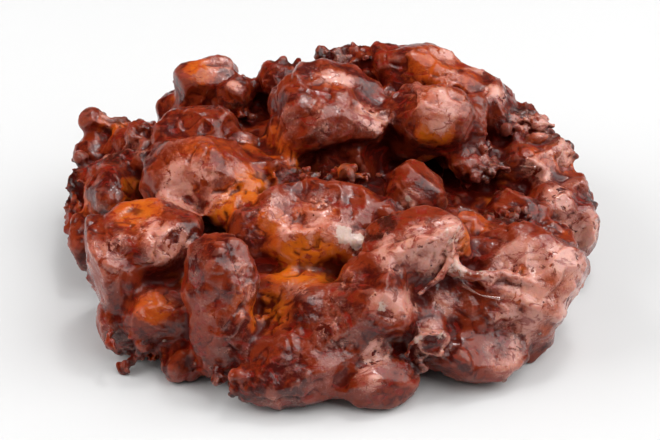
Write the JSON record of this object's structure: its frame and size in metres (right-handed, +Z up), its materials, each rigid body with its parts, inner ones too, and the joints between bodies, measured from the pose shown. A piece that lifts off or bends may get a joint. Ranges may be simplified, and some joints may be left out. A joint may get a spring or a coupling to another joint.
{
  "type": "apple fritter",
  "caption": "Glazed apple fritter: a craggy fried dough round of lumps grown together, flat enough underneath to lie on a surface.",
  "frame": {"origin": "middle of the footprint, on the surface that the fritter rests on", "axes": "+X to the right of the fritter as it is shown, its longest way across; +Y to its back; +Z up"},
  "size_m": [0.136, 0.124, 0.049],
  "materials": {
    "glazed_crust": "fried dough crust, dark red-brown, under a thin glossy sugar glaze"
  },
  "bodies": {
    "root": {"fritter": "glazed_crust"}
  },
  "joints": []
}
